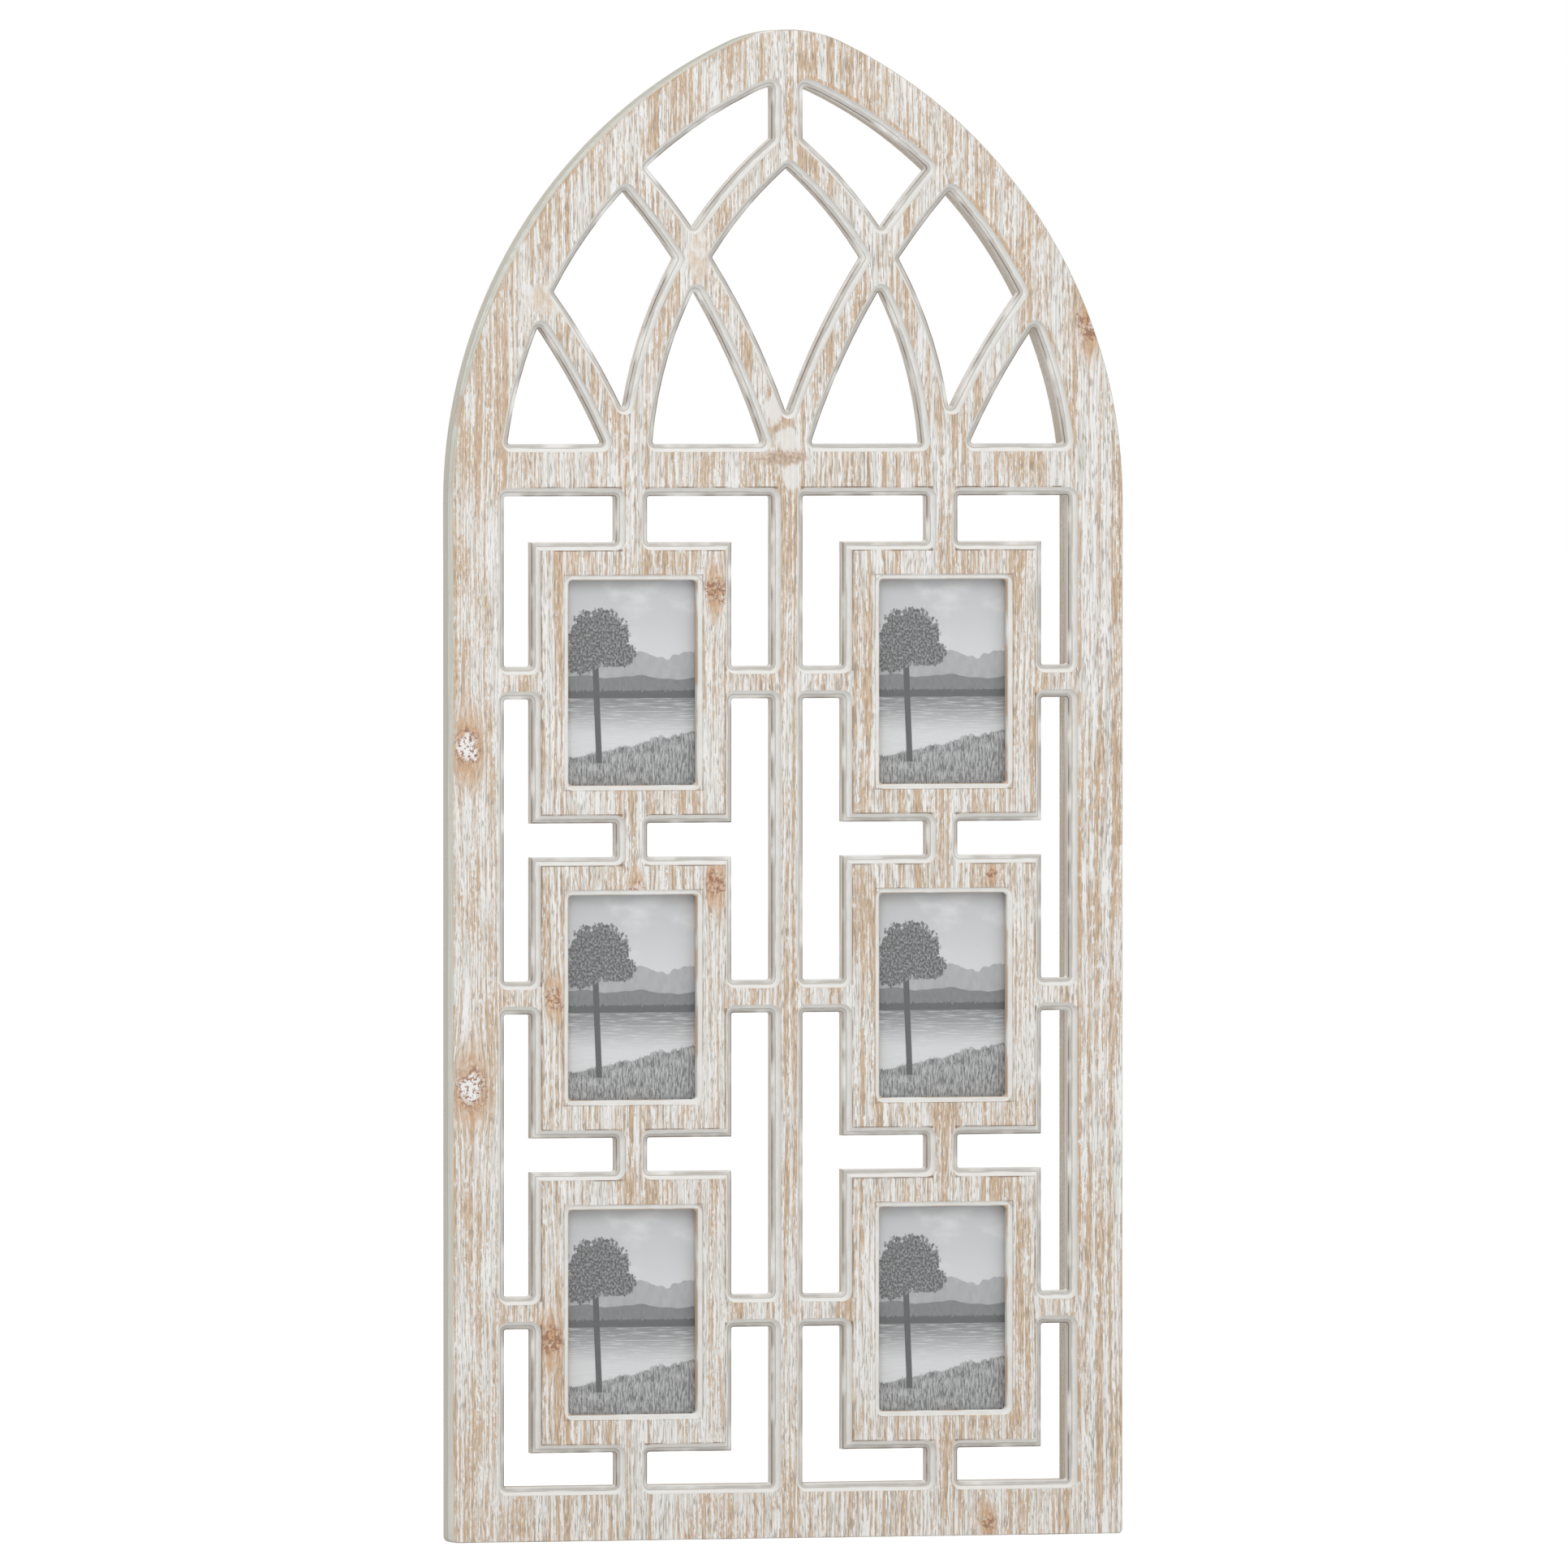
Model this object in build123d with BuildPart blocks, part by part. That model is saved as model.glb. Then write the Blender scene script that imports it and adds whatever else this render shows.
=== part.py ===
from build123d import *
from math import acos, cos, sin, sqrt
import os

os.makedirs("parts", exist_ok=True)

# Overall outline: an upright board with a pointed arch whose tip is eased round.
springing_drop = 21.9
arch_reach = 110.0
crown_radius = 90.0
foot_corner_radius = 3.5
edge_easing = 0.8

# Depths, counted from the front face towards the wall.
panel_depth = 14.0
rear_frame_depth = 13.0

# Lattice and tracery, measured across the full thickness of each member.
band_width = 38.0
rail_height = 37.5
transom_height = 36.0
bar_width = 22.6
mullion_gap = 28.4
side_gap = 19.3
block_side_border = 25.5
block_end_border = 26.1
block_gap = 23.3
transom_gap = 31.7
blocks_per_column = 3

# Curved bars: the long ones sweep out to the band, the short ones meet at the peak.
long_bar_radius = 511.0
short_bar_radius = 291.0
short_bar_inset = 3.0
short_bar_rise = 245.2
side_bar_inset = 17.0
side_bar_rise = 150.0
middle_bar_spread = 7.8
middle_bar_rise = 234.0

# Routed edge of every pierced opening.
lip_width = 5.6
ledge_depth = 5.6
cove_radius = 3.4
lip_chamfer = 0.9
opening_corner_radius = 1.6

# Photo openings with their softer, shallower edge, which cover the rims of the prints.
side_cover = 4.8
end_cover = 5.5
picture_corner_radius = 3.0
bevel_width = 3.4
bevel_depth = 1.4
bevel_cove_radius = 0.9
bevel_lip_chamfer = 0.9

# What the photo rebates hold, from the front to the rear.
print_width = 101.6
print_height = 152.4
glass_thickness = 2.0
print_thickness = 0.3
backing_thickness = 3.0
rebate_clearance = 1.2
rebate_corner_radius = 3.0
sheet_clearance = 0.05
backing_play = 0.1
backing_corner_radius = 2.0

# Turn buttons that hold the backing boards in.
button_reach = 14.0
button_width = 9.0
button_thickness = 0.9
button_clearance = 0.12
button_edge_radius = 0.2
pivot_margin = 8.0
screw_shank_radius = 1.5
screw_clearance = 0.08
screw_length = 9.0
screw_point_length = 2.5
screw_head_radius = 2.9
screw_head_height = 1.7
screw_head_fillet = 0.8
screw_slot_width = 0.8
screw_slot_depth = 0.8

# Keyhole plates let into the back of the upright members.
hanger_drop = 56.0
plate_width = 16.0
plate_height = 50.0
plate_thickness = 1.6
plate_fit = 0.15
keyhole_entry_radius = 4.5
keyhole_slot_width = 4.6
keyhole_slot_rise = 12.0
head_pocket_margin = 1.2
head_pocket_depth = 7.5
plate_screw_inset = 6.5
plate_screw_head_radius = 3.1
plate_screw_radius = 1.6
plate_screw_length = 11.0
plate_screw_slot_width = 0.8
plate_screw_slot_depth = 0.7

# Pins driven from the back through the rear frame into the board.
pin_radius = 0.8
pin_length = 20.0
pin_clearance = 0.05
pins_per_upright = 4
pins_per_arch = 4
pins_in_rail = 3

# The board is glued up from upright strips.
strip_count = 9

frame_depth = panel_depth + rear_frame_depth
picture_opening_width = print_width - 2 * side_cover
picture_opening_height = print_height - 2 * end_cover
block_width = picture_opening_width + 2 * block_side_border
block_height = picture_opening_height + 2 * block_end_border

column_offset = bar_width / 2 + mullion_gap + block_width / 2
inner_half_width = column_offset + block_width / 2 + side_gap
half_width = inner_half_width + band_width
frame_width = 2 * half_width

block_pitch = block_height + block_gap
first_block_centre = rail_height + block_gap + block_height / 2
last_block_top = first_block_centre + block_height / 2 + (blocks_per_column - 1) * block_pitch
transom_middle = last_block_top + transom_gap + transom_height / 2

springing_height = transom_middle - springing_drop
arch_radius = half_width + arch_reach
crown_centre_rise = sqrt((arch_radius - crown_radius) ** 2 - arch_reach**2)
overall_height = springing_height + crown_centre_rise + crown_radius
peak_height = springing_height + short_bar_rise
side_bar_end = (side_bar_inset - inner_half_width, springing_height + side_bar_rise)
middle_bar_end = (-column_offset - middle_bar_spread, springing_height + middle_bar_rise)
hanger_height = springing_height - hanger_drop

block_centres = [first_block_centre + i * block_pitch for i in range(blocks_per_column)]
column_places = [-column_offset, column_offset]
photo_places = [(x, z) for z in reversed(block_centres) for x in column_places]
photo_names = [f"{row}_{side}" for row in ("top", "middle", "bottom") for side in ("left", "right")]

rebate_width = print_width + 2 * rebate_clearance
rebate_height = print_height + 2 * rebate_clearance
sheets_depth = glass_thickness + print_thickness + backing_thickness + 2 * sheet_clearance
rebate_depth = sheets_depth + backing_play
glass_front = panel_depth - rebate_depth
print_front = glass_front + glass_thickness + sheet_clearance
backing_front = print_front + print_thickness + sheet_clearance


def level(depth):
    """The upright plane at a depth behind the front face, x across and y up from the foot."""
    return Plane(origin=(0, depth - frame_depth, -hanger_height), x_dir=(1, 0, 0), z_dir=(0, -1, 0))


def arched_face(inset, foot):
    """The arch shape as a flat face, drawn in from the outer edge by the inset."""
    side = half_width - inset
    radius = arch_radius - inset
    crown = crown_radius - inset
    along_share = radius / (radius - crown)
    touch = (arch_reach * (1 - along_share), springing_height + crown_centre_rise * along_share)
    top = (0, springing_height + crown_centre_rise + crown)
    with BuildSketch() as arch:
        with BuildLine():
            Polyline((-side, springing_height), (-side, foot), (side, foot), (side, springing_height))
            TangentArc((-side, springing_height), touch, tangent=(0, 1))
            ThreePointArc(touch, top, (-touch[0], touch[1]))
            TangentArc((side, springing_height), (-touch[0], touch[1]), tangent=(0, 1))
        make_face()
    return arch.sketch


# The openings inside the band: all that the bars, transom, mullion, stubs and blocks leave free.
with BuildSketch() as openings:
    add(arched_face(band_width, rail_height))
    with BuildSketch(mode=Mode.SUBTRACT):
        with Locations((0, transom_middle)):
            Rectangle(2 * inner_half_width, transom_height)
        with Locations((0, peak_height)):
            Rectangle(bar_width, overall_height - peak_height, align=(Align.CENTER, Align.MIN))
        with Locations(*[(x, transom_middle / 2) for x in (0, *column_places)]):
            Rectangle(bar_width, transom_middle)
        with Locations(*photo_places):
            Rectangle(block_width, block_height)
        with Locations(*[(0, z) for z in block_centres]):
            Rectangle(2 * inner_half_width, bar_width)
        column_foot = (-column_offset, transom_middle)
        mullion_foot = (0, transom_middle)
        short_foot = (short_bar_inset - column_offset, transom_middle)
        for bar in (
            RadiusArc(column_foot, side_bar_end, -long_bar_radius),
            RadiusArc(mullion_foot, middle_bar_end, -long_bar_radius),
            RadiusArc(short_foot, (0, peak_height), short_bar_radius),
        ):
            SlotArc(bar, bar_width)
            SlotArc(bar.mirror(Plane.YZ), bar_width)

# The photo openings, one in the middle of each block.
with BuildSketch() as picture_openings:
    with Locations(*photo_places):
        Rectangle(picture_opening_width, picture_opening_height)


def routed_cut(opening, corner, width, depth, cove, lip):
    """What the router takes out of the board for one opening: the hole and its stepped edge."""
    with BuildPart() as cut:
        with BuildSketch(level(0)):
            add(opening)
            offset(amount=-corner)
            offset(amount=corner + width)
        extrude(amount=-depth)
        fillet(cut.faces().sort_by(Axis.Y)[-1].edges(), cove)
        with BuildSketch(level(depth)):
            add(opening)
            offset(amount=-corner)
            offset(amount=corner)
        extrude(amount=depth - panel_depth)
        ledge = cut.faces().filter_by(Plane.XZ).sort_by(Axis.Y)[1]
        chamfer(ledge.inner_wires().edges(), lip)
    return cut.part


# Where the pins go: evenly spaced along the middle of each member of the rear frame.
band_middle = half_width - band_width / 2
pinned_height = hanger_height - plate_height / 2 - rail_height
pin_arc_radius = arch_radius - band_width / 2
pin_arc_angle = acos(arch_reach / pin_arc_radius)
pin_sites = []
for i in range(pins_in_rail):
    step_share = (i + 0.5) / pins_in_rail
    pin_sites.append(((2 * step_share - 1) * inner_half_width, rail_height / 2))
for sign in (-1, 1):
    for i in range(pins_per_upright):
        step_share = (i + 0.5) / pins_per_upright
        pin_sites.append((sign * band_middle, rail_height + step_share * pinned_height))
    for i in range(pins_per_arch):
        angle = pin_arc_angle * (i + 0.5) / pins_per_arch
        reach = pin_arc_radius * cos(angle) - arch_reach
        pin_sites.append((sign * reach, springing_height + pin_arc_radius * sin(angle)))

# Where the turn buttons pivot: beside the middle of each long edge of a photo rebate.
pivot_offset = rebate_width / 2 + pivot_margin
button_sites = {
    f"{name}_{side}": (x + sign * pivot_offset, z, sign)
    for name, (x, z) in zip(photo_names, photo_places)
    for side, sign in (("button_a", -1), ("button_b", 1))
}
pivots = [(x, z) for x, z, sign in button_sites.values()]

# Where the keyhole plates and their screws sit.
plate_sites = {"left": -band_middle, "right": band_middle}
plate_screw_rise = plate_height / 2 - plate_screw_inset
plate_screw_sites = [
    (x, hanger_height + sign * plate_screw_rise) for x in plate_sites.values() for sign in (-1, 1)
]


# The whole routed board: openings and photo rebates cut, pilot holes drilled from the rear.
with BuildPart() as board:
    with BuildSketch(level(0)) as board_face:
        add(arched_face(0, 0))
        fillet(board_face.vertices().group_by(Axis.Y)[0], foot_corner_radius)
    extrude(amount=-panel_depth)
    chamfer(board.faces().sort_by(Axis.Y)[0].edges(), edge_easing)
    routing = (opening_corner_radius, lip_width, ledge_depth, cove_radius, lip_chamfer)
    add([routed_cut(opening, *routing) for opening in openings.faces()], mode=Mode.SUBTRACT)
    bevel = (picture_corner_radius, bevel_width, bevel_depth, bevel_cove_radius, bevel_lip_chamfer)
    add([routed_cut(opening, *bevel) for opening in picture_openings.faces()], mode=Mode.SUBTRACT)
    with BuildSketch(level(panel_depth)):
        with Locations(*photo_places):
            RectangleRounded(rebate_width, rebate_height, rebate_corner_radius)
    extrude(amount=rebate_depth, mode=Mode.SUBTRACT)
    with BuildSketch(level(panel_depth)):
        with Locations(*pivots):
            Circle(screw_shank_radius + screw_clearance)
    extrude(amount=screw_length, mode=Mode.SUBTRACT)
    with BuildSketch(level(panel_depth)):
        with Locations(*pin_sites):
            Circle(pin_radius + pin_clearance)
    extrude(amount=pin_length + pin_clearance - rear_frame_depth, mode=Mode.SUBTRACT)

# The glued strips, left to right: each is the board's share of one strip of wood.
strip_width = frame_width / strip_count
for i in range(strip_count):
    with BuildPart() as board_strip:
        with BuildSketch(level(0)):
            with Locations((i * strip_width - half_width, 0)):
                Rectangle(strip_width, overall_height, align=Align.MIN)
        extrude(amount=-panel_depth)
        add(board.part, mode=Mode.INTERSECT)
    board_strip.part.label = f"board_strip_{i + 1}"
    export_step(board_strip.part, f"parts/board_strip_{i + 1}.step")

# The rear frame as one ring, with the plate recesses, head pockets and holes cut into it.
with BuildPart() as rear_ring:
    with BuildSketch(level(panel_depth)) as ring_face:
        add(arched_face(0, 0))
        fillet(ring_face.vertices().group_by(Axis.Y)[0], foot_corner_radius)
        add(arched_face(band_width, rail_height), mode=Mode.SUBTRACT)
    extrude(amount=-rear_frame_depth)
    chamfer(rear_ring.faces().sort_by(Axis.Y)[-1].outer_wire().edges(), edge_easing)
    with BuildSketch(level(frame_depth)):
        with Locations(*[(x, hanger_height) for x in plate_sites.values()]):
            SlotOverall(plate_height + 2 * plate_fit, plate_width + 2 * plate_fit, rotation=90)
    extrude(amount=plate_thickness, mode=Mode.SUBTRACT)
    with BuildSketch(level(frame_depth)):
        with Locations(*[(x, hanger_height + keyhole_slot_rise / 2) for x in plate_sites.values()]):
            head_pocket_width = 2 * (keyhole_entry_radius + head_pocket_margin)
            SlotCenterToCenter(keyhole_slot_rise, head_pocket_width, rotation=90)
    extrude(amount=plate_thickness + head_pocket_depth, mode=Mode.SUBTRACT)
    with BuildSketch(level(frame_depth)):
        with Locations(*plate_screw_sites):
            Circle(plate_screw_radius + screw_clearance)
    extrude(amount=plate_screw_length, mode=Mode.SUBTRACT)
    with BuildSketch(level(frame_depth)):
        with Locations(*pin_sites):
            Circle(pin_radius + pin_clearance)
    extrude(amount=rear_frame_depth, mode=Mode.SUBTRACT)

# The rear frame's five members: each takes its own region of the ring.
member_regions = {
    "rear_upright_left": (-half_width, 0, band_width, springing_height),
    "rear_upright_right": (inner_half_width, 0, band_width, springing_height),
    "rear_bottom_rail": (-inner_half_width, 0, 2 * inner_half_width, rail_height),
    "rear_arch_left": (-half_width, springing_height, half_width, overall_height - springing_height),
    "rear_arch_right": (0, springing_height, half_width, overall_height - springing_height),
}
for name, (left, foot, across, tall) in member_regions.items():
    with BuildPart() as member:
        with BuildSketch(level(panel_depth)):
            with Locations((left, foot)):
                Rectangle(across, tall, align=Align.MIN)
        extrude(amount=-rear_frame_depth)
        add(rear_ring.part, mode=Mode.INTERSECT)
    member.part.label = name
    export_step(member.part, f"parts/{name}.step")

# Frame pins: plain round pins, flush with the back.
with BuildPart() as frame_pins:
    with BuildSketch(level(frame_depth)):
        with Locations(*pin_sites):
            Circle(pin_radius)
    extrude(amount=pin_length)
frame_pins.part.label = "frame_pins"
export_step(frame_pins.part, "parts/frame_pins.step")

# The stack in each photo rebate: glass against the shoulder, then the print, then the backing.
stack = (
    ("glass", glass_front, glass_thickness),
    ("print", print_front, print_thickness),
    ("backing", backing_front, backing_thickness),
)
for name, place in zip(photo_names, photo_places):
    for kind, front, thickness in stack:
        with BuildPart() as sheet:
            with BuildSketch(level(front)):
                with Locations(place):
                    if kind == "backing":
                        RectangleRounded(print_width, print_height, backing_corner_radius)
                    else:
                        Rectangle(print_width, print_height)
            extrude(amount=-thickness)
        sheet.part.label = f"{kind}_{name}"
        export_step(sheet.part, f"parts/{kind}_{name}.step")

# Turn buttons: flat rounded steel tabs that swing about a screw at one end.
for name, (x, z, sign) in button_sites.items():
    button_span = button_reach - button_width / 2
    with BuildPart() as button:
        with BuildSketch(level(panel_depth + button_clearance)):
            with Locations((x - sign * button_span / 2, z)):
                SlotCenterToCenter(button_span, button_width)
            with Locations((x, z)):
                Circle(screw_shank_radius + screw_clearance, mode=Mode.SUBTRACT)
        extrude(amount=-button_thickness)
        fillet(button.faces().sort_by(Axis.Y)[-1].outer_wire().edges(), button_edge_radius)
    button.part.label = f"turn_{name}"
    export_step(button.part, f"parts/turn_{name}.step")


def turned(outline):
    """A solid turned about the Y axis from half its outline, as points of radius and place."""
    with BuildPart() as blank:
        with BuildSketch():
            with BuildLine():
                Polyline(*outline, close=True)
            make_face()
        revolve(axis=Axis.Y)
    return blank.part


# Turn-button screws: pan head with a slot, plain shank and point, one at each pivot.
head_seat = 2 * button_clearance + button_thickness
head_top = head_seat + screw_head_height
with BuildPart() as pan_screw:
    add(
        turned(
            (
                (0, head_top),
                (screw_head_radius, head_top),
                (screw_head_radius, head_seat),
                (screw_shank_radius, head_seat),
                (screw_shank_radius, screw_point_length - screw_length),
                (0, -screw_length),
            )
        )
    )
    fillet(pan_screw.edges().filter_by(GeomType.CIRCLE).sort_by(Axis.Y)[-1], screw_head_fillet)
    with Locations((0, head_top, 0)):
        Box(2 * screw_head_radius, 2 * screw_slot_depth, screw_slot_width, mode=Mode.SUBTRACT)
with BuildPart() as turn_button_screws:
    for x, z in pivots:
        with Locations((x, -rear_frame_depth, z - hanger_height)):
            add(pan_screw.part)
turn_button_screws.part.label = "turn_button_screws"
export_step(turn_button_screws.part, "parts/turn_button_screws.step")

# Countersunk screws for the keyhole plates, flush with the back.
with BuildPart() as flat_screw:
    head_depth = plate_screw_head_radius - plate_screw_radius
    add(
        turned(
            (
                (0, 0),
                (plate_screw_head_radius, 0),
                (plate_screw_radius, -head_depth),
                (plate_screw_radius, screw_point_length - plate_screw_length),
                (0, -plate_screw_length),
            )
        )
    )
    slot_length = 2 * plate_screw_head_radius
    Box(slot_length, 2 * plate_screw_slot_depth, plate_screw_slot_width, mode=Mode.SUBTRACT)
with BuildPart() as keyhole_plate_screws:
    for x, z in plate_screw_sites:
        with Locations((x, 0, z - hanger_height)):
            add(flat_screw.part)
keyhole_plate_screws.part.label = "keyhole_plate_screws"
export_step(keyhole_plate_screws.part, "parts/keyhole_plate_screws.step")

# Keyhole plates: an entry for a screw head, a slot above it, and a countersunk hole at each end.
with BuildPart() as plate_hole:
    hole_radius = plate_screw_radius + screw_clearance
    mouth_radius = plate_screw_head_radius + screw_clearance
    add(
        turned(
            (
                (0, 0),
                (mouth_radius, 0),
                (hole_radius, hole_radius - mouth_radius),
                (hole_radius, -plate_thickness),
                (0, -plate_thickness),
            )
        )
    )
for side, x in plate_sites.items():
    with BuildPart() as keyhole_plate:
        with BuildSketch(level(frame_depth)):
            with Locations((x, hanger_height)):
                SlotOverall(plate_height, plate_width, rotation=90)
                Circle(keyhole_entry_radius, mode=Mode.SUBTRACT)
            with Locations((x, hanger_height + keyhole_slot_rise / 2)):
                SlotCenterToCenter(
                    keyhole_slot_rise, keyhole_slot_width, rotation=90, mode=Mode.SUBTRACT
                )
        extrude(amount=plate_thickness)
        for sign in (-1, 1):
            with Locations((x, 0, sign * plate_screw_rise)):
                add(plate_hole.part, mode=Mode.SUBTRACT)
    keyhole_plate.part.label = f"keyhole_plate_{side}"
    export_step(keyhole_plate.part, f"parts/keyhole_plate_{side}.step")

print(f"overall {frame_width:.1f} wide, {frame_depth:.1f} deep, {overall_height:.1f} tall")
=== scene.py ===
import math

import bpy
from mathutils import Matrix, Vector


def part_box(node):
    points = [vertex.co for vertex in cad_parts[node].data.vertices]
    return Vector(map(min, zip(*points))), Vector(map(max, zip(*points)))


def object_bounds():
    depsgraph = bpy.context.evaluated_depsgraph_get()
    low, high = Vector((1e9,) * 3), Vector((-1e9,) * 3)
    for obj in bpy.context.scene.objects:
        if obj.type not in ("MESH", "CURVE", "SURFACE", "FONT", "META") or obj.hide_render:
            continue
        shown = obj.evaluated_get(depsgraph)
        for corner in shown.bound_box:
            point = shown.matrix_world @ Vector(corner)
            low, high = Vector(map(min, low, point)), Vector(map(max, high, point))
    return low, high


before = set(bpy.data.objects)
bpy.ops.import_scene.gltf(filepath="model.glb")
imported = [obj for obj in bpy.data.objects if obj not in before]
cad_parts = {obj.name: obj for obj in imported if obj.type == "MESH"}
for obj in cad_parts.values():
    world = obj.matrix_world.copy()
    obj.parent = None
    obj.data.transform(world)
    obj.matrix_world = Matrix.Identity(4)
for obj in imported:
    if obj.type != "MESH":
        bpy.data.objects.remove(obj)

cad_box = [list(corner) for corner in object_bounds()]


# The board: nine upright strips of fir, glued edge to edge, then sawn and routed to the window
# shape. Its face is wire-brushed, washed white and rubbed back, so tan wood shows between
# streaks of paint. The routed edges and the sides are painted more fully.
class Socket:
    """A socket of a node. Sums on it add Math nodes, and node() adds any other node."""

    def __init__(self, tree, out=None):
        self.tree = tree
        self.out = out

    def node(self, kind, settings=(), inputs=(), output=0):
        new = self.tree.nodes.new(kind)
        for name, value in dict(settings).items():
            setattr(new, name, value)
        for name, value in dict(inputs).items():
            if isinstance(value, Socket):
                self.tree.links.new(value.out, new.inputs[name])
            else:
                new.inputs[name].default_value = value
        return Socket(self.tree, new.outputs[output])

    def maths(self, operation, *others):
        values = dict(enumerate((self, *others)))
        return self.node("ShaderNodeMath", {"operation": operation}, values)

    def __add__(self, other):
        return self.maths("ADD", other)

    def __sub__(self, other):
        return self.maths("SUBTRACT", other)

    def __rsub__(self, other):
        return self.node("ShaderNodeMath", {"operation": "SUBTRACT"}, {0: other, 1: self})

    def __mul__(self, other):
        return self.maths("MULTIPLY", other)

    def __truediv__(self, other):
        return self.maths("DIVIDE", other)

    def __abs__(self):
        return self.maths("ABSOLUTE")

    __radd__ = __add__
    __rmul__ = __mul__

    def most(self, other):
        """The larger of the two values."""
        return self.maths("MAXIMUM", other)

    def rise(self, low, high):
        """0 below low, 1 above high, and a smooth step between them."""
        span = {"Value": self, "From Min": low, "From Max": high}
        return self.node("ShaderNodeMapRange", {"interpolation_type": "SMOOTHSTEP"}, span)

    def band(self, start, full, last, end):
        """1 from full to last, and smoothly down to 0 at start and at end."""
        return self.rise(start, full) * self.rise(end, last)

    def tint(self, first, second):
        """The first colour where this is 0 and the second where it is 1."""
        colours = {0: self, 6: first, 7: second}
        return self.node("ShaderNodeMix", {"data_type": "RGBA"}, colours, output=2)


def paint(red, green, blue):
    """A colour from its screen values, 0 to 255, as the shader's linear light."""
    levels = [value / 255 for value in (red, green, blue)]
    return [v / 12.92 if v <= 0.04045 else ((v + 0.055) / 1.055) ** 2.4 for v in levels] + [1]


def new_finish(name):
    """A new material and its main shader."""
    material = bpy.data.materials.new(name)
    material.use_nodes = True
    return material, material.node_tree.nodes["Principled BSDF"]


def own_axes(material):
    """The object's own x, y and z, as sockets of its material."""
    start = Socket(material.node_tree)
    place = start.node("ShaderNodeTexCoord", output=3)
    return [start.node("ShaderNodeSeparateXYZ", (), {0: place}, output=i) for i in range(3)]


def feed(socket, shader, name):
    """Links a socket to the shader's input of that name."""
    socket.tree.links.new(socket.out, shader.inputs[name])


def noise(place, size, detail=2.0, roughness=0.5):
    """Soft noise from 0 to 1 whose features have the given size along each axis."""
    scaled = dict(enumerate(at / length for at, length in zip(place, size)))
    start = next(at for at in place if isinstance(at, Socket))
    vector = start.node("ShaderNodeCombineXYZ", (), scaled)
    inputs = {"Vector": vector, "Scale": 1.0, "Detail": detail, "Roughness": roughness}
    return start.node("ShaderNodeTexNoise", (), inputs)


def roughen(height, shader, depth, strength):
    """Gives the shader a bumpy surface from a height between 0 and 1."""
    inputs = {"Height": height, "Distance": depth, "Strength": strength}
    feed(height.node("ShaderNodeBump", (), inputs), shader, "Normal")


def dress(node, material):
    """Gives a carried-over node its better material."""
    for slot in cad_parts[node].material_slots:
        slot.material = material


def oval(x, z, centre, halves):
    """0 at an oval's centre and 1 on its edge, rising with the square of the distance."""
    across = (x - centre[0]) / halves[0]
    along = (z - centre[1]) / halves[1]
    return across * across + along * along


washed_fir, shader = new_finish("washed_fir")
x, y, z = own_axes(washed_fir)
half_width = 0.240
strip_count = 9

# each strip has a grain of its own, so the noise is shifted from strip to strip
strip_place = (x + half_width) / (2 * half_width / strip_count)
lot = strip_place.maths("FLOOR") * 3.7

# each knot's place and radius, in metres, and how far its heart is filled with paint
knots = (
    (-0.2295, -0.112, 0.0085, 1.0),
    (-0.2270, -0.347, 0.0100, 1.0),
    (0.2160, 0.177, 0.0075, 0.6),
    (-0.0530, -0.005, 0.0065, 0.3),
    (-0.0530, -0.207, 0.0060, 0.2),
    (-0.1080, -0.210, 0.0045, 0.6),
    (0.1460, -0.202, 0.0030, 0.2),
    (-0.1680, -0.286, 0.0055, 0.3),
    (-0.1710, -0.521, 0.0070, 0.1),
    (0.1430, -0.650, 0.0040, 0.2),
)
lumps = noise((x, lot, z), (0.0060, 1.0, 0.0090), 3.0, 0.6)
warp = (lumps - 0.5) * 0.016
bend = halo = core = heart = 0.0
for knot_x, knot_z, radius, filled in knots:
    across = (x - knot_x) / radius
    along = (z - knot_z) / radius
    near = ((across * across * 0.7 + along * along * 0.10) * -1).maths("EXPONENT")
    bend = across * near * (0.8 * radius) + bend
    halo = near.most(halo)
    across = across + warp / radius
    along = along - warp / radius
    close = ((across * across * 0.8 + along * along * 0.5) * -1).maths("EXPONENT")
    core = close.most(core)
    heart = (close * filled).most(heart)
wobble = noise((x, lot, z), (0.045, 1.0, 0.17), 1.0) - 0.5
grain = x + wobble * 0.006 - bend

# the wash holds in the grain's hollows and is rubbed off its ridges
rings = noise((grain, lot, z), (0.0025, 1.0, 0.30), 1.0, 0.5)
streaks = noise((grain, lot, z), (0.0010, 1.0, 0.045), 2.0, 0.6)
pores = noise((grain, lot, z), (0.0008, 1.0, 0.0085), 1.0, 0.5)
patches = noise((x, lot, z), (0.022, 1.0, 0.070), 3.0, 0.6)
crumbs = noise((x, lot, z), (0.0017, 1.0, 0.0042), 2.0, 0.6)
cover = rings * 1.32 + streaks * 0.88 + patches * 0.90 + crumbs * 0.86 - halo * 0.35
painted = cover.rise(1.89, 2.04)
warm = (patches * 0.5 + rings * 0.5).rise(0.58, 0.40)
wood = warm.tint(paint(223, 210, 196), paint(206, 180, 152))
wood = (streaks.rise(0.42, 0.28) * 0.5).tint(wood, paint(178, 152, 127))
wood = (pores.rise(0.45, 0.35) * 0.55).tint(wood, paint(240, 237, 232))
coat = streaks.rise(0.60, 0.36).tint(paint(245, 244, 242), paint(214, 211, 203))
face = painted.tint(wood, coat)
face = (pores.rise(0.55, 0.66) * 0.62).tint(face, paint(149, 137, 124))

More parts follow.
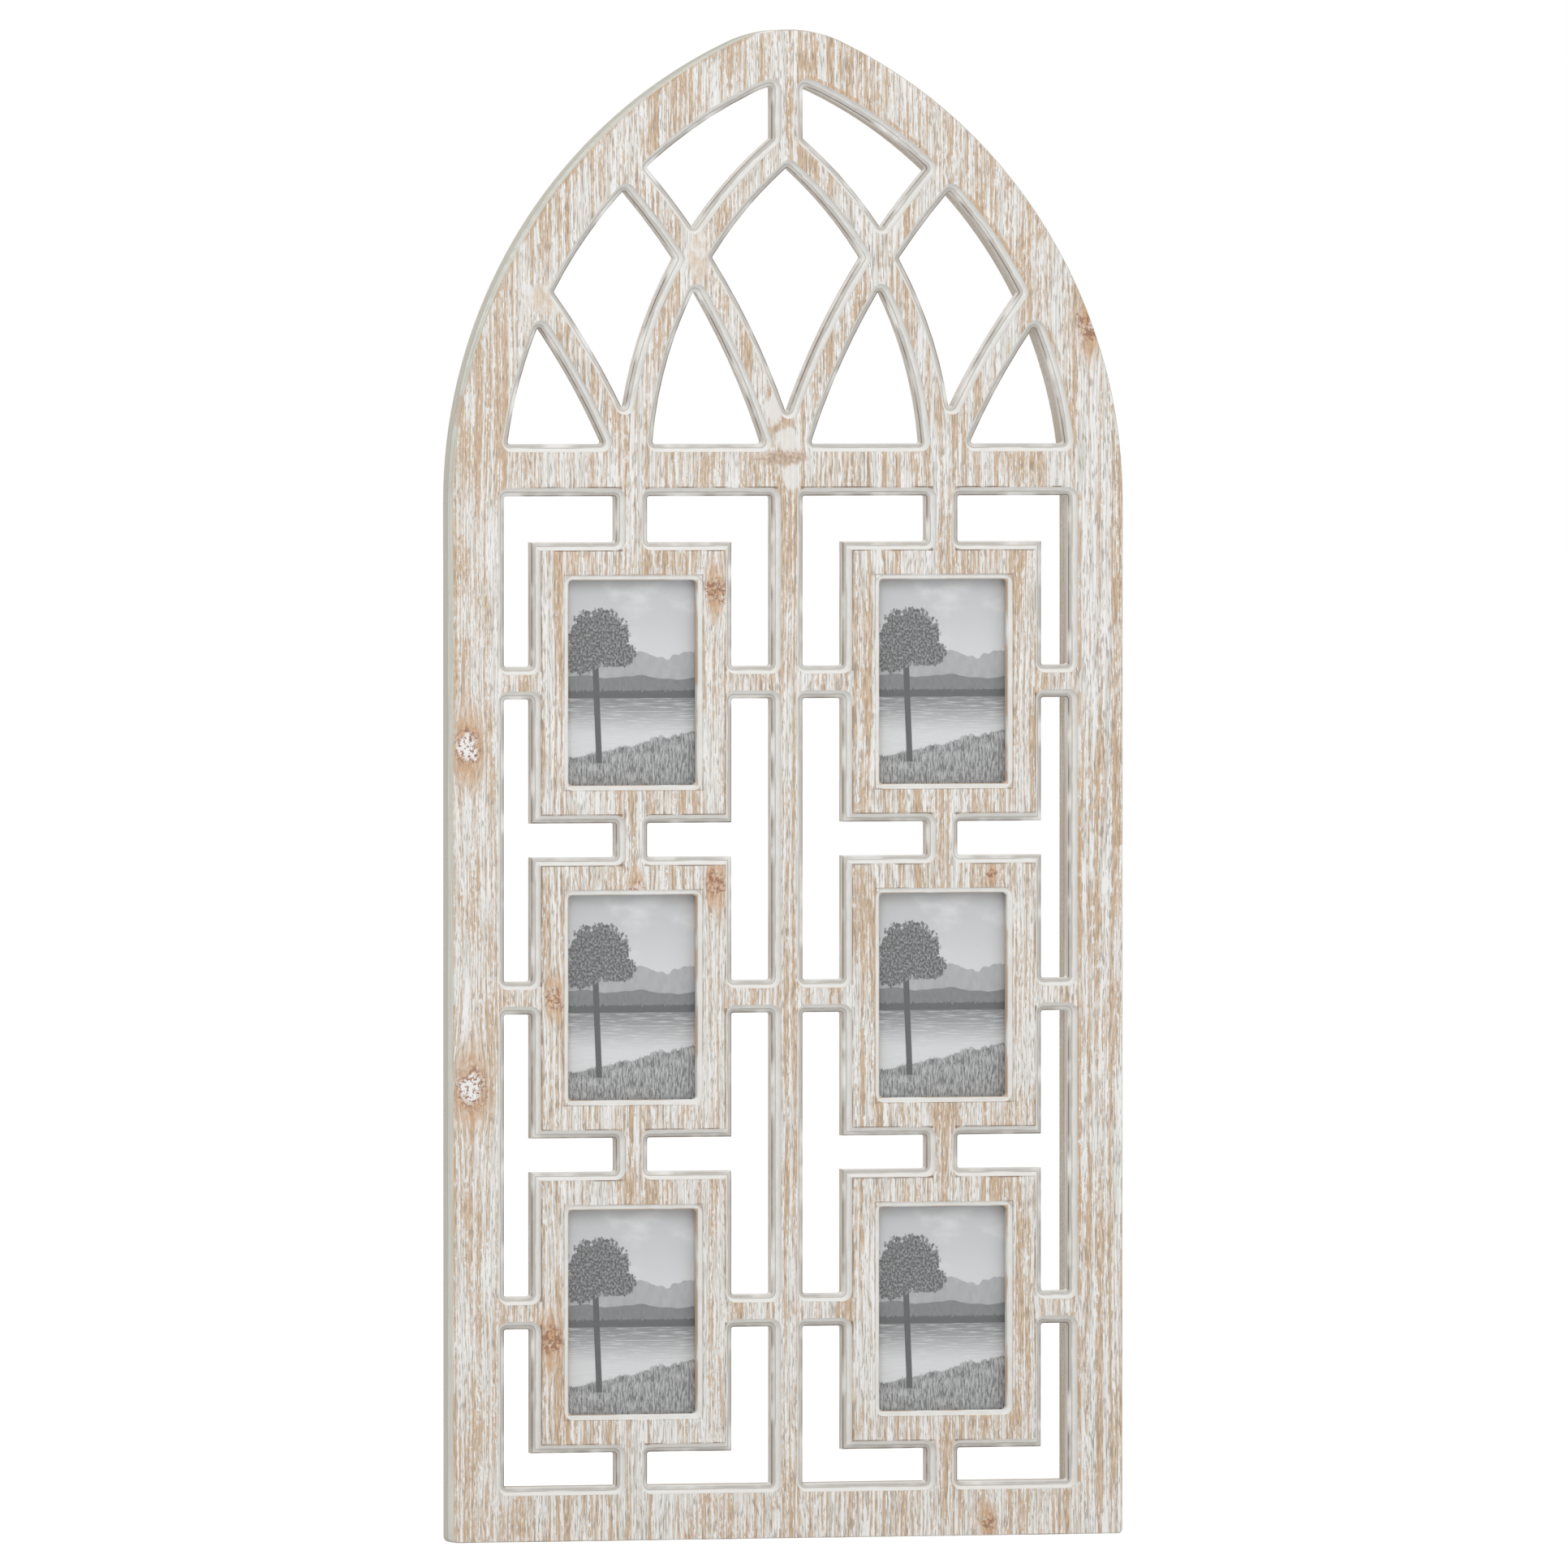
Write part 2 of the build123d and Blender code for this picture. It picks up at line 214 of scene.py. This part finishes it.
# the knots: a tan halo, a broken brown core and a heart filled with paint
bark = noise((x, lot, z), (0.0026, 1.0, 0.0030), 3.0, 0.65)
worn_halo = halo.rise(0.10, 0.80) * crumbs.rise(0.30, 0.62)
face = (worn_halo * 0.85).tint(face, paint(208, 164, 122))
broken_core = core.rise(0.16, 0.55) * bark.rise(0.44, 0.56)
face = (broken_core * 0.85).tint(face, paint(152, 108, 86))
filled_heart = heart.rise(0.40, 0.80) * bark.rise(0.60, 0.49)
face = filled_heart.tint(face, paint(245, 244, 242))

# the rubbed brown blotch on the transom, and the soft bare patches on the tracery
ragged = (lumps - 0.5) * 2.5
blotch = (oval(x, z, (-0.007, 0.0865), (0.019, 0.0058)) + ragged).rise(1.4, 0.4)
blotch_brown = bark.rise(0.32, 0.72).tint(paint(220, 202, 186), paint(172, 143, 121))
face = (blotch * 0.9).tint(face, blotch_brown)
soft_patch = 0.0
for centre, halves in (
    ((-0.174, 0.196), (0.014, 0.012)),
    ((-0.065, 0.224), (0.008, 0.020)),
):
    edge = oval(x, z, centre, halves) + ragged
    soft_patch = edge.rise(1.4, 0.2).most(soft_patch)
patch_tan = lumps.rise(0.35, 0.60).tint(paint(238, 234, 228), paint(221, 200, 176))
face = (soft_patch * 0.75).tint(face, patch_tan)

# soft filler on the face: its centre, its half width and half height, and how ragged it is
filler = 0.0
for centre, halves, raggedness in (
    ((-0.187, 0.202), (0.0042, 0.0042), 0.5),
    ((-0.011, 0.120), (0.0055, 0.0110), 2.6),
    ((0.000, 0.099), (0.0095, 0.0085), 2.6),
    ((0.0015, 0.073), (0.0070, 0.0085), 2.6),
):
    edge = oval(x, z, centre, halves) + (lumps + crumbs * 0.6 - 0.8) * raggedness
    filler = edge.rise(1.45, 0.45).most(filler)
face = (filler * (0.60 + streaks * 0.50)).tint(face, paint(240, 238, 235))

# where the lattice stands, in metres: its foot and top, its columns and rows of photo blocks,
# the flat face inside each block's routed edge, the soft edge of each photo opening, half the
# flat face of a bar, and the transom
lattice_foot = -0.606
lattice_top = 0.036
column_offset = 0.1112
bottom_row = -0.5024
row_pitch = 0.2169
block_face = (0.0659, 0.0912)
photo_edge = (0.0494, 0.0741)
photo_opening = (0.0460, 0.0707)
bar_half = 0.0070
transom_foot = 0.0656
transom_middle = 0.0779
rail_top = -0.628
row = (z - bottom_row) / row_pitch
beside = abs(abs(x) - column_offset)
above = abs((row - (row + 0.5).maths("FLOOR")) * row_pitch)
under_transom = z.rise(lattice_top, lattice_top - 0.002)
in_lattice = under_transom * z.rise(lattice_foot, lattice_foot + 0.002)


def off_outline(halves):
    """How far a point is from the outline of a block's rectangle with these half sizes."""
    return abs((beside - halves[0]).most(above - halves[1]))


# a dark brown line along the corner where the face drops to a routed edge: partly worn wood,
# partly painted shade
drift = noise((x, y, z), (0.030, 0.020, 0.030), 2.0, 0.5)
fine_drift = noise((x, y, z), (0.012, 0.020, 0.012), 2.0, 0.5)
block_rim = off_outline(block_face).rise(0.0012, 0.0003)
block_rim = block_rim * beside.rise(bar_half, bar_half + 0.0015)
block_rim = block_rim * above.rise(bar_half, bar_half + 0.0015)
photo_rim = off_outline(photo_edge).rise(0.0008, 0.0002)
transom_rim = abs(z - transom_foot).rise(0.0014, 0.0004)
transom_rim = transom_rim * beside.rise(bar_half + 0.0005, bar_half + 0.0020)
transom_rim = transom_rim * abs(x).band(bar_half + 0.0005, bar_half + 0.0020, 0.195, 0.197)
rim_wear_and_shade = (block_rim + photo_rim * 0.6) * in_lattice + transom_rim
rim_wear_and_shade = rim_wear_and_shade * drift.rise(0.34, 0.54) * fine_drift.rise(0.30, 0.52)
face = (rim_wear_and_shade * 0.85).tint(face, paint(128, 108, 90))

# the band that frames the window: its springing line, its arcs and the edges of its face
springing = 0.056
arch_reach = 0.110
band_outside = arch_reach + half_width
band_inside = 0.3176


def band_place(x, z):
    """How far out a point is, from the arch's centre or, lower down, straight across."""
    side = abs(x) + arch_reach
    height = (z - springing).most(0.0)
    return (side * side + height * height).maths("SQRT")


# wood rubbed bare along the band: by its outer edge at the left, its inner one at the right,
# except where a bar or the transom joins it
reach = band_place(x, z)
inner_line = reach.rise(band_inside - 0.0002, band_inside + 0.0002)
inner_line = inner_line * reach.rise(band_inside + 0.0028, band_inside + 0.0018)
inner_line = inner_line * x.rise(0.012, 0.016) * z.rise(rail_top, rail_top + 0.004)
inner_line = inner_line * drift.rise(0.34, 0.48)
for bar_z, half_tall in ((0.2820, 0.0110), (0.1920, 0.0140), (transom_middle, 0.0150)):
    inner_line = inner_line * abs(z - bar_z).rise(half_tall - 0.001, half_tall + 0.004)
inner_line = inner_line * (1 - above.rise(bar_half + 0.0015, bar_half) * under_transom)
outer_line = reach.rise(band_outside - 0.0026, band_outside - 0.0018)
outer_line = outer_line * x.rise(0.0, -0.010) * fine_drift.rise(0.38, 0.55)
rubbed_line = (inner_line + outer_line * 0.8) * crumbs.rise(0.66, 0.54)
rubbed_tan = streaks.rise(0.60, 0.35).tint(paint(214, 182, 146), paint(190, 154, 120))
face = (rubbed_line * 0.8).tint(face, rubbed_tan)

# how deep below the face the routed lip starts and ends, and how thick the board is
lip_top = 0.0055
lip_foot = 0.0066
board_depth = 0.0140
depth = y - cad_box[0][1]

# the painted edges: a painted highlight where they face up, worn to wood in a thin line at
# the face, and dark at the lip, partly worn paint and partly painted shade, which fades
# where they face up
brushed = noise((x, y, z), (0.009, 0.002, 0.009), 2.0, 0.5)
edges = brushed.rise(0.30, 0.70).tint(paint(234, 232, 227), paint(241, 240, 237))
facing = y.node("ShaderNodeTexCoord", output=1)
upward = facing.node("ShaderNodeSeparateXYZ", (), {0: facing}, output=2).rise(0.30, 0.80)
# painted highlight: the edges that face up are lightened towards white
edges = (upward * 0.7).tint(edges, paint(250, 249, 246))
# painted shade: the dark marks below are weakened where the edges face up
shade_unless_facing_up = 1 - upward * 0.75
arris = depth.rise(0.0012, 0.0006) * drift.rise(0.40, 0.60)
edges = (arris * 0.65).tint(edges, paint(170, 148, 128))
# the dark line at the lip: partly worn paint, partly painted shade
lip_wear_and_shade = depth.band(lip_top, lip_top + 0.0002, lip_foot - 0.0003, lip_foot)
lip_wear_and_shade = lip_wear_and_shade * drift.rise(0.30, 0.55)
edges = (lip_wear_and_shade * shade_unless_facing_up * 0.85).tint(edges, paint(118, 102, 88))
# painted shade: a thin grey line in the corner where the cove meets the ledge
cove_corner_shade = depth.band(lip_top - 0.00008, lip_top, lip_top + 0.00005, lip_top + 0.00009)
cove_corner_shade = cove_corner_shade * drift.rise(0.70, 0.45)
edges = (cove_corner_shade * shade_unless_facing_up * 0.65).tint(edges, paint(150, 138, 126))

# below the lip the sawn wall is thinly painted, and tan round the photo openings
streak = noise((x, y, z), (0.060, 0.0012, 0.060), 2.0, 0.5)
wall = depth.rise(lip_foot - 0.0001, lip_foot + 0.0004) * streak.rise(0.46, 0.62)
edges = (wall * 0.35).tint(edges, paint(204, 192, 178))
# bare streaks on the wall: bare wood, and painted shade in that they weaken where the wall
# faces up
bare_wall_and_shade = depth.rise(lip_foot + 0.0001, lip_foot + 0.0004) * streak.rise(0.30, 0.56)
bare_wall_and_shade = bare_wall_and_shade * shade_unless_facing_up
edges = (bare_wall_and_shade * 0.8).tint(edges, paint(182, 166, 148))
reveal = beside.rise(photo_opening[0] + 0.0008, photo_opening[0] + 0.0002)
reveal = reveal * above.rise(photo_opening[1] + 0.0006, photo_opening[1] + 0.0002)
reveal = reveal * in_lattice * drift.rise(0.40, 0.54)
edges = (reveal * 0.8).tint(edges, paint(206, 178, 150))

# the outer sides, a grey wash darkened partly as painted shade, with the seam to the rear
# frame and a place rubbed bare at the left
outer_side = reach.rise(band_outside - 0.0016, band_outside - 0.0009)
side_paint_and_shade = streak.rise(0.40, 0.62).tint(paint(219, 218, 208), paint(196, 193, 180))
edges = outer_side.tint(edges, side_paint_and_shade)
seam = depth.rise(board_depth - 0.0011, board_depth - 0.0005)
edges = (seam * 0.65).tint(edges, paint(150, 140, 128))
along = (z - 0.119) / 0.011
rubbed = (along * along + (drift - 0.5) * 2.0).rise(1.3, 0.5) * x.rise(-0.225, -0.230)
edges = (rubbed * 0.55).tint(edges, paint(186, 158, 130))
on_face = depth.rise(0.0004, 0.0001)
colour = on_face.tint(edges, face)

# the rear is left as planed wood under a thin wash
on_rear = depth.rise(board_depth - 0.00015, board_depth - 0.00002)
rear_wood = rings.rise(0.35, 0.62).tint(paint(196, 166, 133), paint(216, 192, 163))
rear_wood = (painted * 0.35).tint(rear_wood, paint(228, 224, 215))
colour = on_rear.tint(colour, rear_wood)
feed(colour, shader, "Base Color")
feed(0.72 - painted * 0.16, shader, "Roughness")
roughen(on_face * (rings * 0.6 + streaks * 0.3 + painted * 0.3), shader, 0.0005, 0.45)
for i in range(strip_count):
    dress(f"board_strip_{i + 1}", washed_fir)


# The rear frame: two uprights, a bottom rail and two arch halves of the same fir, butted
# and pinned behind the board. Its sides were painted with the board's, and its back is bare.
def frame_wood(name, lying):
    """Fir with its grain up the member, or along it where the member lies flat."""
    material, shader = new_finish(name)
    x, y, z = own_axes(material)
    across, along = (z, x) if lying else (x, z)
    rings = noise((across, y, along), (0.0045, 0.010, 0.30), 2.0, 0.6)
    fibres = noise((across, y, along), (0.0010, 0.003, 0.030), 2.0, 0.6)
    blotches = noise((across, y, along), (0.030, 0.030, 0.080), 3.0, 0.6)
    specks = noise((x, y, z), (0.0012, 0.0012, 0.0018), 2.0, 0.6)
    streak = noise((x, y, z), (0.080, 0.0016, 0.080), 3.0, 0.6)

    inner_side = specks.rise(0.64, 0.36).tint(paint(205, 201, 191), paint(180, 174, 162))
    worn = (streak * 0.8 + blotches * 0.6).rise(0.66, 0.80)
    worn_brown = streak.rise(0.40, 0.62).tint(paint(196, 176, 154), paint(168, 146, 124))
    inner_side = (worn * 0.75).tint(inner_side, worn_brown)
    # the outer side: a grey wash, darkened partly as painted shade
    wash_and_shade = streak.rise(0.40, 0.64).tint(paint(206, 204, 193), paint(183, 179, 165))
    outer_side = specks.rise(0.70, 0.40).tint(wash_and_shade, paint(188, 184, 171))
    on_outside = band_place(x, z).rise(band_outside - 0.0020, band_outside - 0.0010)
    side = on_outside.tint(inner_side, outer_side)

    bare = (rings * 0.7 + fibres * 0.3).rise(0.35, 0.62)
    bare = bare.tint(paint(190, 158, 124), paint(217, 193, 163))
    bare = (blotches.rise(0.52, 0.66) * 0.4).tint(bare, paint(231, 227, 218))
    on_back = y.rise(-0.0010, -0.0004)
    feed(on_back.tint(side, bare), shader, "Base Color")
    shader.inputs["Roughness"].default_value = 0.68
    roughen(rings * 0.5 + fibres * 0.5, shader, 0.0004, 0.5)
    return material


upright_wood = frame_wood("frame_wood_upright", False)
for side in ("left", "right"):
    dress(f"rear_upright_{side}", upright_wood)
    dress(f"rear_arch_{side}", upright_wood)
dress("rear_bottom_rail", frame_wood("frame_wood_flat", True))


# The frame pins: plain steel, driven flush through the rear frame into the board.
# Like the buttons and plates, they are left as they came, with faint rubbing marks.
def bright_steel(name, base, rough):
    """Bright steel with a faint spangle and rubbing marks."""
    material, shader = new_finish(name)
    x, y, z = own_axes(material)
    spangle = noise((x, y, z), (0.0025, 0.0025, 0.0025), 2.0, 0.5)
    rubbed = noise((x, y, z), (0.0004, 0.0020, 0.0060), 2.0, 0.6)
    dull = spangle.tint(paint(*base), paint(*(value + 22 for value in base)))
    feed(dull, shader, "Base Color")
    feed(spangle * 0.12 + rubbed * 0.14 + rough, shader, "Roughness")
    shader.inputs["Metallic"].default_value = 1.0
    roughen(rubbed, shader, 0.00005, 0.4)
    return material


dress("frame_pins", bright_steel("pin_steel", (150, 149, 146), 0.30))


# The photo openings, each with float glass against the shoulder of its rebate, a printed
# sheet behind it and a hardboard backing. The sheets carry a made-up grey lake view.
rows = ("top", "middle", "bottom")
openings = [f"{row}_{side}" for row in rows for side in ("left", "right")]
glass, shader = new_finish("clear_glass")
shader.inputs["Base Color"].default_value = paint(238, 242, 241)
shader.inputs["Roughness"].default_value = 0.02
shader.inputs["Alpha"].default_value = 0.06
shader.inputs["IOR"].default_value = 1.5

print_width = 0.1016
print_height = 0.1524


def lake_view(name, centre):
    """The printed view: pale sky, far ridges, a lake with a tree on its near bank."""
    material, shader = new_finish(name)
    x, y, z = own_axes(material)
    h = (x - centre.x) / print_width + 0.5
    v = (z - centre.z) / print_height + 0.5
    shore = 0.43

    # the sky, with thin cloud
    cloud = noise((h, 0.0, v), (0.42, 1.0, 0.16), 4.0, 0.55)
    view = v.rise(0.45, 1.0).tint(paint(226, 227, 229), paint(200, 202, 205))
    view = (cloud.rise(0.50, 0.72) * 0.7).tint(view, paint(238, 239, 240))

    # the far ridge, the near ridge and the firs along the shore
    far_line = noise((h, 3.0, 0.0), (0.30, 1.0, 1.0), 4.0, 0.5) * 0.24 + 0.52
    far_light = noise((h, 5.0, v), (0.05, 1.0, 0.07), 3.0, 0.6)
    far = far_light.tint(paint(150, 152, 156), paint(196, 197, 200))
    view = (far_line - v).rise(0.0, 0.006).tint(view, far)
    near_line = noise((h, 7.0, 0.0), (0.50, 1.0, 1.0), 3.0, 0.5) * 0.16 + 0.45
    wood_light = noise((h, 9.0, v), (0.022, 1.0, 0.030), 3.0, 0.7)
    hill = wood_light.tint(paint(84, 86, 89), paint(142, 144, 147))
    view = (near_line - v).rise(0.0, 0.005).tint(view, hill)
    tips = noise((h, 11.0, 0.0), (0.020, 1.0, 1.0), 2.0, 0.6) * 0.060 + 0.435
    firs = wood_light.tint(paint(42, 43, 46), paint(84, 86, 88))
    view = (tips - v).rise(0.0, 0.004).tint(view, firs)

    # the water, darker towards the far shore
    ripple = noise((h, 13.0, v), (0.16, 1.0, 0.006), 3.0, 0.6)
    water = v.rise(0.24, shore).tint(paint(222, 223, 225), paint(128, 130, 133))
    water = (ripple.rise(0.48, 0.66) * 0.55).tint(water, paint(236, 237, 238))
    view = v.rise(shore + 0.002, shore - 0.002).tint(view, water)

    # the grassy near bank
    bank_line = noise((h, 17.0, 0.0), (0.20, 1.0, 1.0), 3.0, 0.6) * 0.10 + h * 0.14 + 0.10
    tufts = noise((h, 19.0, v), (0.012, 1.0, 0.045), 3.0, 0.7)
    bank = tufts.rise(0.34, 0.66).tint(paint(74, 75, 77), paint(198, 199, 200))
    view = (bank_line - v + (tufts - 0.5) * 0.06).rise(0.0, 0.006).tint(view, bank)

    # the tree: a leaning trunk and three masses of leaves
    trunk_at = (h - 0.27 + (v - 0.4) * 0.06) / 0.022
    trunk = (1 - trunk_at * trunk_at).rise(0.0, 0.2) * v.band(0.13, 0.14, 0.70, 0.74)
    view = trunk.tint(view, paint(56, 57, 59))
    leaves = noise((h, 23.0, v), (0.035, 1.0, 0.030), 4.0, 0.7)
    shine = noise((h, 29.0, v), (0.014, 1.0, 0.012), 2.0, 0.6)
    leaf = shine.rise(0.40, 0.66).tint(paint(48, 49, 51), paint(150, 152, 154))
    for centre, halves in (
        ((0.28, 0.70), (0.22, 0.13)),
        ((0.16, 0.62), (0.13, 0.08)),
        ((0.42, 0.63), (0.12, 0.06)),
    ):
        spread = oval(h, v, centre, halves) + (leaves - 0.5) * 2.6
        view = spread.rise(1.08, 0.92).tint(view, leaf)
    feed(view, shader, "Base Color")
    shader.inputs["Roughness"].default_value = 0.38
    return material


hardboard, shader = new_finish("hardboard")
x, y, z = own_axes(hardboard)
mottle = noise((x, y, z), (0.0035, 0.0035, 0.0035), 4.0, 0.65)
fibre = noise((x, y, z), (0.0007, 0.0007, 0.0012), 2.0, 0.6)
board_brown = mottle.rise(0.35, 0.68).tint(paint(96, 66, 44), paint(134, 98, 68))
board_brown = (fibre.rise(0.62, 0.72) * 0.5).tint(board_brown, paint(168, 134, 98))
feed(board_brown, shader, "Base Color")
shader.inputs["Roughness"].default_value = 0.62
roughen(fibre, shader, 0.0001, 0.5)
for place in openings:
    low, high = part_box(f"print_{place}")
    centre = (Vector(low) + Vector(high)) / 2
    dress(f"glass_{place}", glass)
    dress(f"print_{place}", lake_view(f"lake_view_{place}", centre))
    dress(f"backing_{place}", hardboard)


# The turn buttons: zinc-plated steel tabs, two to an opening, each swinging on a
# pan-headed screw to hold the backing in or let it out.
button_steel = bright_steel("button_steel", (176, 176, 173), 0.24)
for place in openings:
    for letter in ("a", "b"):
        dress(f"turn_{place}_button_{letter}", button_steel)
dress("turn_button_screws", bright_steel("screw_steel", (168, 168, 165), 0.22))


# The keyhole plates: pressed zinc-plated steel, let in flush at the back of the uprights
# and held by two countersunk screws each.
plate_steel = bright_steel("plate_steel", (182, 181, 177), 0.26)
for side in ("left", "right"):
    dress(f"keyhole_plate_{side}", plate_steel)
dress("keyhole_plate_screws", bright_steel("plate_screw_steel", (158, 156, 150), 0.24))


# The floor: a plain pale sweep under the frame's foot. Seen directly it is lifted to the
# white of the surroundings, and it keeps the frame's shadow.
def seen_directly(start):
    """1 for what the eye sees straight, in a reflection or through glass."""
    kinds = ("Is Camera Ray", "Is Glossy Ray", "Is Transmission Ray")
    rays = [start.node("ShaderNodeLightPath", output=kind) for kind in kinds]
    return rays[0].most(rays[1].most(rays[2]))


foot = cad_box[0][2]
floor_half = 60.0
ends = (-floor_half, floor_half)
corners = [(across, along, foot) for across in ends for along in ends]
floor_mesh = bpy.data.meshes.new("studio_floor")
floor_mesh.from_pydata(corners, [], [(0, 2, 3, 1)])
floor = bpy.data.objects.new("studio_floor", floor_mesh)
bpy.context.scene.collection.objects.link(floor)
floor_white, shader = new_finish("floor_white")
shader.inputs["Base Color"].default_value = (0.86, 0.86, 0.86, 1)
shader.inputs["Roughness"].default_value = 0.9
shader.inputs["Specular IOR Level"].default_value = 0.1
lit = Socket(floor_white.node_tree, shader.outputs[0])
glow_inputs = {"Color": (1, 1, 1, 1), "Strength": seen_directly(lit) * 0.50}
glow = lit.node("ShaderNodeEmission", (), glow_inputs)
both = lit.node("ShaderNodeAddShader", (), {0: lit, 1: glow})
feed(both, floor_white.node_tree.nodes["Material Output"], "Surface")
floor_mesh.materials.append(floor_white)


# The light: an even white surround, a large soft lamp above and to the left of the frame,
# a weaker one low at the right, and one behind for the back.
world = bpy.data.worlds.new("studio")
bpy.context.scene.world = world
world.use_nodes = True
background = world.node_tree.nodes["Background"]
background.inputs["Color"].default_value = (1, 1, 1, 1)
feed(seen_directly(Socket(world.node_tree)) * 0.38 + 0.62, background, "Strength")


def soft_lamp(name, place, size, power):
    """A square area lamp that faces the middle of the frame."""
    data = bpy.data.lights.new(name, "AREA")
    data.shape = "SQUARE"
    data.size = size
    data.energy = power
    lamp = bpy.data.objects.new(name, data)
    lamp.location = place
    lamp.rotation_mode = "QUATERNION"
    lamp.rotation_quaternion = (Vector((0, 0, -0.1)) - Vector(place)).to_track_quat("-Z", "Y")
    bpy.context.scene.collection.objects.link(lamp)


soft_lamp("key_lamp", (-1.0, -2.7, 2.1), 1.6, 36)
soft_lamp("fill_lamp", (2.2, -2.4, 0.2), 2.0, 9)
soft_lamp("rear_lamp", (-1.6, 2.8, 1.6), 2.0, 22)


# The camera: level with the upper part of the frame and well to its left, as in the
# photograph, with a long lens.
view_turn = math.radians(-15.5)
view_lift = math.radians(1.2)
view_distance = 16.0
view_width = 1.083
look_at = Vector((0.0, cad_box[0][1] / 2, (cad_box[0][2] + cad_box[1][2]) / 2))
level_reach = math.cos(view_lift)
away = Vector((
    math.sin(view_turn) * level_reach,
    -math.cos(view_turn) * level_reach,
    math.sin(view_lift),
))
camera_data = bpy.data.cameras.new("camera")
camera_data.sensor_width = 36
camera_data.lens = camera_data.sensor_width * view_distance / view_width
camera_data.clip_end = 200
camera = bpy.data.objects.new("camera", camera_data)
camera.location = look_at + away * view_distance
camera.rotation_mode = "QUATERNION"
camera.rotation_quaternion = (-away).to_track_quat("-Z", "Y")
bpy.context.scene.collection.objects.link(camera)
bpy.context.scene.camera = camera
bpy.context.scene.view_settings.view_transform = "Standard"
